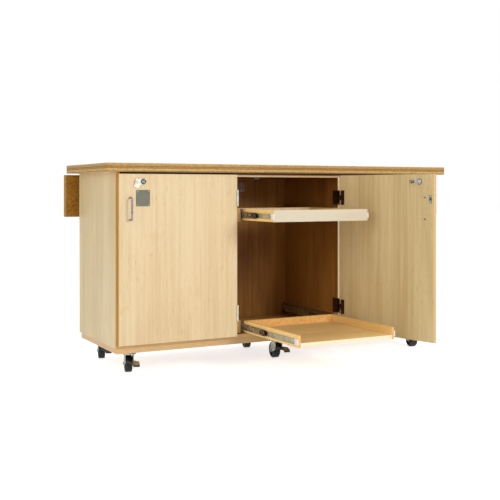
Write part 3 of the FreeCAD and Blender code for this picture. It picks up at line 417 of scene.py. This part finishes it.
# Colours
MAPLE = rgb(228, 205, 164)
MAPLE_DARK = rgb(215, 188, 144)
MAPLE_BACK = (rgb(220, 198, 148), rgb(200, 172, 120))
# INSIDE and INSIDE_DARK are a darker brown than the maple outside: painted shade for the insides of the bays
INSIDE = rgb(168, 116, 48)
INSIDE_DARK = rgb(130, 82, 32)
CREAM = rgb(247, 224, 182)
CREAM_DARK = rgb(234, 202, 152)
ORANGE = rgb(222, 164, 88)
BASE = rgb(206, 160, 96)
BASE_DARK = rgb(172, 122, 64)
BASE_EDGE = (rgb(234, 202, 150), rgb(204, 162, 106))
PLY_EDGE = (rgb(222, 180, 114), rgb(158, 110, 54))
CHROME = metal("fitting_chrome", rgb(226, 228, 232), rgb(186, 188, 194), 0.26, spangle=300.0)
STEEL_DARK = metal("fitting_dark_steel", rgb(92, 112, 116), rgb(48, 62, 66), 0.36, spangle=300.0)
FITTING_BLACK = moulded("fitting_black", rgb(14, 14, 15), rgb(34, 33, 33), 0.42)
FITTING_WHITE = moulded("fitting_white", rgb(236, 236, 232), rgb(214, 214, 208), 0.4)
LABEL_RIM = moulded("label_rim", rgb(70, 70, 60), rgb(88, 88, 76), 0.45)
PLATE_MAUVE = moulded("plate_mauve", rgb(164, 136, 132), rgb(148, 122, 118), 0.5)
FITTING_RED = moulded("fitting_red", rgb(196, 34, 36), rgb(160, 26, 30), 0.4)

# The worktop's edge from its underside up: a dark band at the underside arris as painted shade, then a pale
# layer, glue lines, an orange core and a tan layer
WORKTOP_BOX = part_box("worktop")
TOP_STOPS = (
    (0.0, rgb(84, 54, 24)), (0.07, rgb(96, 62, 28)), (0.13, rgb(204, 176, 108)), (0.36, rgb(208, 180, 112)),
    (0.4, rgb(108, 68, 30)), (0.45, rgb(192, 132, 64)), (0.57, rgb(184, 124, 60)), (0.61, rgb(104, 66, 30)),
    (0.66, rgb(184, 152, 92)), (0.93, rgb(198, 166, 106)), (1.0, rgb(214, 188, 138)),
)
TOP_LAYERS = (WORKTOP_BOX[0][2], WORKTOP_BOX[1][2], 0.6, TOP_STOPS)

# The top panel's front edge: pale below, and dark above where it meets the worktop, a painted shadow of the
# worktop's overhang
RAIL_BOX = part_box("top_panel")
RAIL_STOPS = (
    (0.0, rgb(204, 172, 126)), (0.06, rgb(224, 198, 158)), (0.4, rgb(212, 182, 140)), (0.54, rgb(92, 58, 28)),
    (1.0, rgb(58, 36, 18)),
)
RAIL_LAYERS = (RAIL_BOX[0][2], RAIL_BOX[1][2], 0.1, RAIL_STOPS)


def dress(material, *nodes):
    for node in nodes:
        slots = NODES[node].data.materials
        slots.clear()
        slots.append(material)


def soften(width, *nodes):
    """Break the sharp arrises of boards so that they catch the light."""
    for node in nodes:
        bevel = NODES[node].modifiers.new("arris", "BEVEL")
        bevel.width = width
        bevel.segments = 2
        bevel.limit_method = "ANGLE"
        bevel.angle_limit = math.radians(50)
        bevel.use_clamp_overlap = True
        bevel.harden_normals = True


def dress_woodwork():
    dress(wood("worktop_wood", rgb(226, 192, 138), rgb(200, 158, 102), "X", "Z", seed=3.1, roughness=0.66,
               layers=TOP_LAYERS), "worktop")
    side_edge = (rgb(236, 184, 98), rgb(212, 154, 70))
    for seed, node in ((1.3, "left_side_panel"), (8.7, "right_side_panel")):
        dress(wood(node + "_wood", rgb(225, 203, 158), rgb(209, 184, 134), "Z", "X", side_edge, seed=seed),
              node)
    # The dividers' faces take the darker inside colours, a painted shade of the bays
    for seed, node in ((2.4, "left_divider"), (5.2, "right_divider")):
        dress(wood(node + "_wood", INSIDE, INSIDE_DARK, "Z", "X", (CREAM, CREAM_DARK), seed=seed), node)
    # The top panel's face, the bays' ceiling, is darker still: painted shade under the worktop
    dress(wood("top_panel_wood", INSIDE_DARK, rgb(84, 50, 24), "X", "Z", seed=6.6, layers=RAIL_LAYERS),
          "top_panel")
    for seed, node, plies in ((4.8, "bottom_panel", 0.0021), (9.5, "base_slab", 0.0024)):
        dress(wood(node + "_wood", BASE, BASE_DARK, "X", "Z", BASE_EDGE, plies=plies, seed=seed), node)
    # The back panel's inner face takes the darker inside colours, a painted shade, and its outer face stays
    # maple
    dress(wood("back_panel_wood", INSIDE, INSIDE_DARK, "Z", "Y", PLY_EDGE, plies=0.0012, seed=7.9,
               back=(MAPLE, MAPLE_DARK)), "back_panel")
    for seed, node in ((2.2, "left_bay_shelf"), (3.9, "right_bay_shelf")):
        dress(wood(node + "_wood", MAPLE, MAPLE_DARK, "X", "Z", PLY_EDGE, plies=0.0021, seed=seed), node)
    dress(wood("cleat_wood", BASE, BASE_DARK, "Y", "X", PLY_EDGE, plies=0.002, seed=1.9), "shelf_cleats")
    dress(wood("spacer_wood", rgb(150, 104, 60), rgb(116, 76, 42), "Y", "X", PLY_EDGE, plies=0.0021,
               seed=5.5), "slide_spacers")
    # The left door's edge takes darker colours, painted shade where it faces away from the light, and the
    # open door's edge paler ones, painted light where it faces the lamps
    for seed, node, opened, edge in (
        (0.4, "left_door_panel", False, (rgb(222, 182, 120), rgb(184, 134, 74))),
        (6.1, "middle_door_panel", True, (rgb(234, 198, 146), rgb(208, 164, 110))),
    ):
        dress(
            wood(node + "_wood", MAPLE, MAPLE_DARK, "Z", "Y", edge, plies=0.0021, seed=seed, opened=opened,
                 fleck=0.45, back=MAPLE_BACK),
            node,
        )
    dress(wood("upper_front_wood", rgb(216, 205, 182), rgb(206, 191, 163), "X", "Y", (CREAM, CREAM_DARK),
               seed=2.8), "upper_tray_front")
    tray_tints = (rgb(254, 216, 144), rgb(240, 196, 120))
    dress(wood("upper_sides_wood", *tray_tints, "Y", "X", (CREAM, CREAM_DARK), seed=3.3), "upper_tray_sides")
    dress(wood("lower_sides_wood", *tray_tints, "Y", "X", (rgb(238, 192, 120), ORANGE), seed=4.4),
          "lower_tray_sides")
    dress(wood("upper_bottom_wood", rgb(214, 172, 112), rgb(188, 142, 86), "X", "Z", PLY_EDGE, plies=0.002,
               seed=7.1), "upper_tray_bottom")
    dress(wood("deck_wood", rgb(234, 198, 132), rgb(212, 170, 104), "X", "Z",
               (rgb(250, 238, 212), rgb(240, 222, 184)), seed=8.2), "lower_tray_deck")
    dress(hardboard("leaf_board", rgb(190, 136, 44), rgb(108, 66, 14), rgb(168, 124, 48)), "drop_leaf")
    soften(0.0008, "left_side_panel", "right_side_panel", "left_divider", "right_divider", "top_panel",
           "bottom_panel", "base_slab", "left_bay_shelf", "right_bay_shelf", "left_door_panel",
           "middle_door_panel", "upper_tray_front", "upper_tray_sides", "lower_tray_sides",
           "lower_tray_deck", "slide_spacers", "shelf_cleats")


def dress_metalwork():
    zinc = metal("zinc", rgb(196, 200, 188), rgb(158, 162, 150), 0.34, "Y", spangle=24.0)
    # The slide middle members mottle from bright zinc to near black: partly rust, partly painted shade inside
    # the bay
    rust_and_shade = metal("slide_middle", rgb(184, 176, 158), rgb(52, 44, 38), 0.42, "Y", spangle=95.0)
    dress(zinc, "slide_cabinet_members", "upper_tray_slide_members", "lower_tray_slide_members")
    dress(rust_and_shade, "upper_slide_middle_members", "lower_slide_middle_members")
    dress(metal("plate_zinc", rgb(170, 172, 168), rgb(120, 122, 118), 0.4), "caster_plates")
    # The hinge leaves on the bench's right half turn dark brown: painted shade
    hinge = metal("hinge_plate", rgb(214, 216, 208), rgb(160, 162, 152), 0.34, "Z", spangle=150.0,
                  right=(rgb(120, 98, 80), rgb(46, 36, 30)))
    dress(hinge, "left_door_hinge_leaves", "middle_door_hinge_leaves", "door_hinge_frame_leaves")
    dress(metal("strike_zinc", rgb(132, 160, 162), rgb(78, 104, 108), 0.34, "Z", spangle=140.0),
          "left_door_strike", "middle_door_strike")
    dress(metal("leaf_hinge_steel", rgb(150, 140, 122), rgb(96, 88, 76), 0.45, "X"),
          "leaf_hinge_fixed_halves", "leaf_hinge_moving_halves")
    dress(metal("nickel", rgb(158, 152, 172), rgb(112, 106, 124), 0.26, "Z", spangle=30.0),
          "left_door_pull", "middle_door_pull")
    dress(lever_finish("left_lever_finish", False), "left_door_lock_rotor")
    dress(lever_finish("middle_lever_finish", True), "middle_door_lock_rotor")
    dress(lock_finish("left_lock_finish", False), "left_door_lock_body")
    dress(lock_finish("middle_lock_finish", True), "middle_door_lock_body")
    dress(moulded("label_finish", rgb(106, 106, 88), rgb(94, 95, 80), 0.5, grain=500.0), "label_plate")
    # The door catches and keepers are dark brown like the shaded rail behind them: painted shade
    dress(moulded("catch_shade_dark", rgb(44, 30, 20), rgb(30, 22, 16), 0.55), "door_catches_and_keepers")


def dress_casters():
    steel = metal("fork_zinc", rgb(176, 182, 168), rgb(84, 90, 78), 0.38, spangle=110.0)
    for row in ("front", "rear"):
        for column in ("left", "middle", "right"):
            name = f"{row}_{column}"
            dress(steel, f"{name}_fork")
            pin = JOINTS[f"{name}_brake_press"]
            dress(pedal(f"{name}_pedal_finish", pin["pos_m"], pin["axis"]), f"{name}_brake_pedal")
            dress(wheel(f"{name}_rubber", JOINTS[f"{name}_axle"]["pos_m"]), f"{name}_wheel")


class Fitting:
    """One small piece built of chamfered blocks and discs, each in its own material."""

    def __init__(self, name, body):
        self.name = name
        self.body = body
        self.mesh = bmesh.new()
        self.materials = []

    def add(self, part, material):
        """Join one finished shape to the piece, in its material."""
        if material not in self.materials:
            self.materials.append(material)
        for face in part.faces:
            face.material_index = self.materials.index(material)
        data = bpy.data.meshes.new("part")
        part.to_mesh(data)
        part.free()
        self.mesh.from_mesh(data)
        bpy.data.meshes.remove(data)

    def block(self, low, high, material, chamfer=0.3 * MM):
        low = Vector(low)
        high = Vector(high)
        size = Vector((abs(b - a) for a, b in zip(low, high)))
        part = bmesh.new()
        placed = Matrix.Translation((low + high) / 2) @ Matrix.Diagonal((*size, 1.0))
        bmesh.ops.create_cube(part, size=1.0, matrix=placed)
        bmesh.ops.bevel(part, geom=part.edges[:], offset=chamfer, segments=2, affect="EDGES", profile=0.5)
        self.add(part, material)

    def disc(self, start, end, radius, material, chamfer=0.3 * MM, sides=40):
        """A round boss from one point on its axis to another, broken at its rims."""
        start = Vector(start)
        end = Vector(end)
        turn = (end - start).to_track_quat("Z", "Y").to_matrix().to_4x4()
        part = bmesh.new()
        bmesh.ops.create_cone(
            part, cap_ends=True, segments=sides, radius1=radius, radius2=radius,
            depth=(end - start).length, matrix=Matrix.Translation((start + end) / 2) @ turn,
        )
        rims = {edge for face in part.faces if len(face.verts) > 4 for edge in face.edges}
        bmesh.ops.bevel(part, geom=list(rims), offset=chamfer, segments=2, affect="EDGES", profile=0.5)
        self.add(part, material)

    def place(self, matrix=None):
        if matrix is not None:
            self.mesh.transform(matrix)
        data = bpy.data.meshes.new(self.name)
        self.mesh.to_mesh(data)
        self.mesh.free()
        for material in self.materials:
            data.materials.append(material)
        made = bpy.data.objects.new(self.name, data)
        bpy.context.scene.collection.objects.link(made)
        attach(made, self.body)


# The lock's face: its bright ring, black core and half its keyway's height, as shares of its radius
CAP_RING = 0.54
CAP_CORE = 0.46
KEYWAY_HALF = 0.3

# The bumper behind a lock: how far it lies towards the door's free edge, and its rings from the door outwards
BUMPER_REACH = 30.0 * MM
BUMPER_RINGS = (
    (13.5 * MM, 4.0 * MM, STEEL_DARK),
    (11.5 * MM, 4.8 * MM, CHROME),
    (8.6 * MM, 5.3 * MM, FITTING_BLACK),
    (6.6 * MM, 6.4 * MM, CHROME),
)
STRAP_HALF = 6.5 * MM
CAM_PIN_RADIUS = 6.6 * MM
CAM_TIP_RADIUS = 2.6 * MM

# The strike plate's magnet face and the rise of its two screws
MAGNET_RADIUS = 4.4 * MM
STRIKE_SCREW_RADIUS = 2.8 * MM
STRIKE_SCREW_RISE = 12.0 * MM

# The label plate's rim and pins
LABEL_RIM_WIDTH = 1.3 * MM
LABEL_PIN_INSET = 6.0 * MM
LABEL_PIN_RADIUS = 1.5 * MM

# Each tray's slide clip: where it starts and ends from the middle member's front end, and its spot's colour,
# the upper clip's chrome spot being a painted highlight on its ball catch
SLIDE_CLIPS = (("upper", -46.0 * MM, -12.0 * MM, CHROME), ("lower", -27.0 * MM, 0.0, FITTING_RED))
CLIP_HALF = 13.6 * MM
CATCH_HALF = 8 * MM
BALL_PLACE = 12 * MM
BALL_RADIUS = 10.5 * MM
SPOT_RADIUS = 5.0 * MM
SLEEVE_LENGTH = 22.0 * MM
SLEEVE_HALF = 12.4 * MM
SLEEVE_SCREW_RADIUS = 3.0 * MM

# The plate on the middle bay's back: its ends in x, its depth below the ceiling, and its screws
BAY_PLATE_X = (-13.0 * MM, 31.0 * MM)
BAY_PLATE_DROP = (72.0 * MM, 22.0 * MM)
BAY_SCREW_INSET = 7 * MM
BAY_SCREW_RADIUS = 2.6 * MM


def lock_caps():
    """The lock's round black face, with its keyway in a bright ring, in front of each lever."""
    axis = LOCK_AXIS
    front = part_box("left_door_lock_rotor")[0][1]
    for side, matrix in DOORS:
        cap = Fitting(f"{side}_lock_cap", f"{side}_door_lock")

        def layer(radius, depth, material, sunk=0.0):
            cap.disc((axis.x, front + sunk, axis.z), (axis.x, front - depth, axis.z), radius, material)

        layer(LOCK_FACE_RADIUS, 1.4 * MM, FITTING_BLACK, sunk=0.4 * MM)
        layer(CAP_RING * LOCK_FACE_RADIUS, 1.9 * MM, CHROME)
        layer(CAP_CORE * LOCK_FACE_RADIUS, 2.3 * MM, FITTING_BLACK)
        half = KEYWAY_HALF * LOCK_FACE_RADIUS
        cap.block((axis.x - 0.7 * MM, front - 2.6 * MM, axis.z - half),
                  (axis.x + 0.7 * MM, front - 2.0 * MM, axis.z + half), CHROME)
        cap.place(matrix)


def door_back_fittings():
    """Each lock's black pin, a strap to the round bumper beside it, and each strike's dark magnet face."""
    axis = LOCK_AXIS
    door_back = LEFT_DOOR_BOX[1][1]
    strike_low, strike_high = (Vector(corner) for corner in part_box("left_door_strike"))
    strike = (strike_low + strike_high) / 2
    for side, matrix in DOORS:
        bumper = Fitting(f"{side}_bumper", f"{side}_door")
        x = axis.x - BUMPER_REACH
        for radius, top, material in BUMPER_RINGS:
            bumper.disc((x, door_back - 0.3 * MM, axis.z), (x, door_back + top, axis.z), radius, material,
                        chamfer=0.6 * MM)
        bumper.block((x + 10.0 * MM, door_back - 0.3 * MM, axis.z - STRAP_HALF),
                     (axis.x - 9.0 * MM, door_back + 3.0 * MM, axis.z + STRAP_HALF), CHROME)
        bumper.place(matrix)

        pin = Fitting(f"{side}_cam_pin", f"{side}_door_lock")
        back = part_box("left_door_lock_rotor")[1][1]
        pin.disc((axis.x, back - 2.4 * MM, axis.z), (axis.x, back + 1.2 * MM, axis.z), CAM_PIN_RADIUS,
                 FITTING_BLACK)
        pin.disc((axis.x, back + 0.8 * MM, axis.z), (axis.x, back + 1.8 * MM, axis.z), CAM_TIP_RADIUS, CHROME)
        pin.place(matrix)

        face = Fitting(f"{side}_strike_face", f"{side}_door")
        y0 = strike_high.y - 0.4 * MM
        face.disc((strike.x, y0, strike.z), (strike.x, y0 + 0.9 * MM, strike.z), MAGNET_RADIUS, FITTING_BLACK)
        for z in (strike.z - STRIKE_SCREW_RISE, strike.z + STRIKE_SCREW_RISE):
            face.disc((strike.x, y0, z), (strike.x, y0 + 0.8 * MM, z), STRIKE_SCREW_RADIUS, CHROME)
        face.place(matrix)


def label_trim():
    """The bare plate's dark rim and its four pins."""
    low, high = (Vector(corner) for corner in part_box("label_plate"))
    trim = Fitting("label_trim", "left_door")
    rim = LABEL_RIM_WIDTH
    front = low.y - 0.3 * MM
    for x0, x1, z0, z1 in (
        (low.x + rim, high.x - rim, low.z, low.z + rim),
        (low.x + rim, high.x - rim, high.z - rim, high.z),
        (low.x, low.x + rim, low.z + 2 * rim, high.z - 2 * rim),
        (high.x - rim, high.x, low.z + 2 * rim, high.z - 2 * rim),
    ):
        trim.block((x0, front, z0), (x1, low.y + 0.3 * MM, z1), LABEL_RIM, chamfer=0.1 * MM)
    for x in (low.x + LABEL_PIN_INSET, high.x - LABEL_PIN_INSET):
        for z in (low.z + LABEL_PIN_INSET, high.z - LABEL_PIN_INSET):
            trim.disc((x, low.y + 0.2 * MM, z), (x, low.y - 0.6 * MM, z), LABEL_PIN_RADIUS, CHROME, sides=20)
    trim.place()


def slide_fittings():
    """Each slide's black clip with its ball catch, and the bright sleeve on its front end."""
    for tray, clip_start, clip_end, dot in SLIDE_CLIPS:
        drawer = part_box(f"{tray}_tray_slide_members")
        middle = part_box(f"{tray}_slide_middle_members")
        z = (middle[0][2] + middle[1][2]) / 2
        rail_end = middle[0][1]
        tray_end = drawer[0][1]
        for side, outer, inward in (("left", middle[0][0], 1), ("right", middle[1][0], -1)):

            def across(depth):
                return outer + inward * depth

            clip = Fitting(f"{tray}_{side}_slide_clip", f"{tray}_middle_members")
            y0 = rail_end + clip_start
            y1 = rail_end + clip_end
            ball = rail_end + BALL_PLACE
            clip.block((across(-0.3 * MM), y0, z - CLIP_HALF), (across(2.2 * MM), y1, z + CLIP_HALF),
                       FITTING_BLACK)
            clip.block((across(1.0 * MM), y1 - 4 * MM, z - CATCH_HALF),
                       (across(3.4 * MM), rail_end + 2 * MM, z + CATCH_HALF), FITTING_BLACK)
            clip.disc((across(0.6 * MM), ball, z), (across(-0.35 * MM), ball, z), BALL_RADIUS, FITTING_BLACK)
            # A spot on each clip: red on the lower one, and chrome on the upper one's ball as a painted
            # highlight
            spot = y0 + 9 * MM if tray == "lower" else ball
            clip.disc((across(0.0), spot, z + 1 * MM), (across(-0.45 * MM), spot, z + 1 * MM), SPOT_RADIUS,
                      dot)
            clip.place()

            sleeve = Fitting(f"{tray}_{side}_slide_end", f"{tray}_tray")
            sleeve.block((across(4.9 * MM), tray_end - 0.4 * MM, z - SLEEVE_HALF),
                         (across(10.4 * MM), tray_end + SLEEVE_LENGTH, z + SLEEVE_HALF), FITTING_WHITE,
                         chamfer=0.8 * MM)
            screw = tray_end + SLEEVE_LENGTH / 2
            sleeve.disc((across(5.4 * MM), screw, z), (across(4.7 * MM), screw, z), SLEEVE_SCREW_RADIUS,
                        CHROME)
            sleeve.place()


def bay_plate():
    """A faint, dusty mauve plate high on the middle bay's back, with two screws."""
    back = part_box("back_panel")[0][1]
    ceiling = RAIL_BOX[0][2]
    plate = Fitting("bay_back_plate", "workbench")
    x0, x1 = BAY_PLATE_X
    z0, z1 = (ceiling - drop for drop in BAY_PLATE_DROP)
    plate.block((x0, back - 2.0 * MM, z0), (x1, back + 0.3 * MM, z1), PLATE_MAUVE, chamfer=0.8 * MM)
    middle = (x0 + x1) / 2
    for z in (z0 + BAY_SCREW_INSET, z1 - BAY_SCREW_INSET):
        plate.disc((middle, back - 1.8 * MM, z), (middle, back - 2.6 * MM, z), BAY_SCREW_RADIUS, CHROME)
    plate.place()


def camera():
    data = bpy.data.cameras.new("photo_camera")
    data.sensor_width = SENSOR_MM
    data.lens = FOCAL_PIXELS / FRAME_PIXELS * SENSOR_MM
    data.shift_x = (FRAME_PIXELS / 2 - CENTRE_PIXEL[0]) / FRAME_PIXELS
    data.shift_y = (CENTRE_PIXEL[1] - FRAME_PIXELS / 2) / FRAME_PIXELS
    eye = bpy.data.objects.new("photo_camera", data)
    eye.location = CAMERA_PLACE
    eye.rotation_euler = (math.radians(90), 0.0, -math.radians(CAMERA_YAW))
    bpy.context.scene.collection.objects.link(eye)
    bpy.context.scene.camera = eye


def softbox(name, place, target, size, watts):
    data = bpy.data.lights.new(name, "AREA")
    data.shape = "SQUARE"
    data.size = size
    data.energy = watts
    lamp = bpy.data.objects.new(name, data)
    lamp.location = place
    lamp.rotation_euler = (Vector(target) - Vector(place)).to_track_quat("-Z", "Y").to_euler()
    bpy.context.scene.collection.objects.link(lamp)


def seen_directly(tree):
    """One where the eye, a mirror or glass sees the surface, and none where it only lights others."""
    path = tree.nodes.new("ShaderNodeLightPath")
    total = path.outputs["Is Camera Ray"]
    for extra in ("Is Glossy Ray", "Is Transmission Ray"):
        add = tree.nodes.new("ShaderNodeMath")
        add.operation = "MAXIMUM"
        tree.links.new(total, add.inputs[0])
        tree.links.new(path.outputs[extra], add.inputs[1])
        total = add.outputs[0]
    return total


def studio():
    """White surroundings, a pale floor that keeps the shadow, and three soft lamps."""
    world = bpy.data.worlds.new("studio")
    world.use_nodes = True
    bpy.context.scene.world = world
    tree = world.node_tree
    background = tree.nodes["Background"]
    background.inputs["Color"].default_value = (1.0, 1.0, 1.0, 1.0)
    strength = tree.nodes.new("ShaderNodeMapRange")
    tree.links.new(seen_directly(tree), strength.inputs["Value"])
    strength.inputs["To Min"].default_value = ROOM_LIGHT
    strength.inputs["To Max"].default_value = 1.0
    tree.links.new(strength.outputs[0], background.inputs["Strength"])

    g = Graph("floor_paint")
    point = g.local()[0]
    mottle = g.noise(point, 3.0, 0.5, scale=4.0)
    g.feed(g.shader.inputs["Base Color"], g.blend(mottle, rgb(252, 252, 252), rgb(248, 248, 248)))
    g.shader.inputs["Roughness"].default_value = 0.8
    g.shader.inputs["Emission Color"].default_value = (1.0, 1.0, 1.0, 1.0)
    lift = g.node("MapRange")
    g.feed(lift.inputs["Value"], seen_directly(g.tree))
    lift.inputs["To Max"].default_value = FLOOR_GLOW
    g.feed(g.shader.inputs["Emission Strength"], lift.outputs[0])
    bpy.ops.mesh.primitive_plane_add(size=FLOOR_SIZE, location=(0.0, 0.0, -FLOOR_DROP))
    floor = bpy.context.object
    floor.name = "floor"
    floor.data.materials.append(g.material)

    for name, place, size, watts in LAMPS:
        softbox(name, place, LAMP_AIM, size, watts)


dress_woodwork()
dress_metalwork()
dress_casters()
lock_caps()
door_back_fittings()
label_trim()
slide_fittings()
bay_plate()
camera()
studio()
bpy.context.scene.view_settings.view_transform = "Standard"
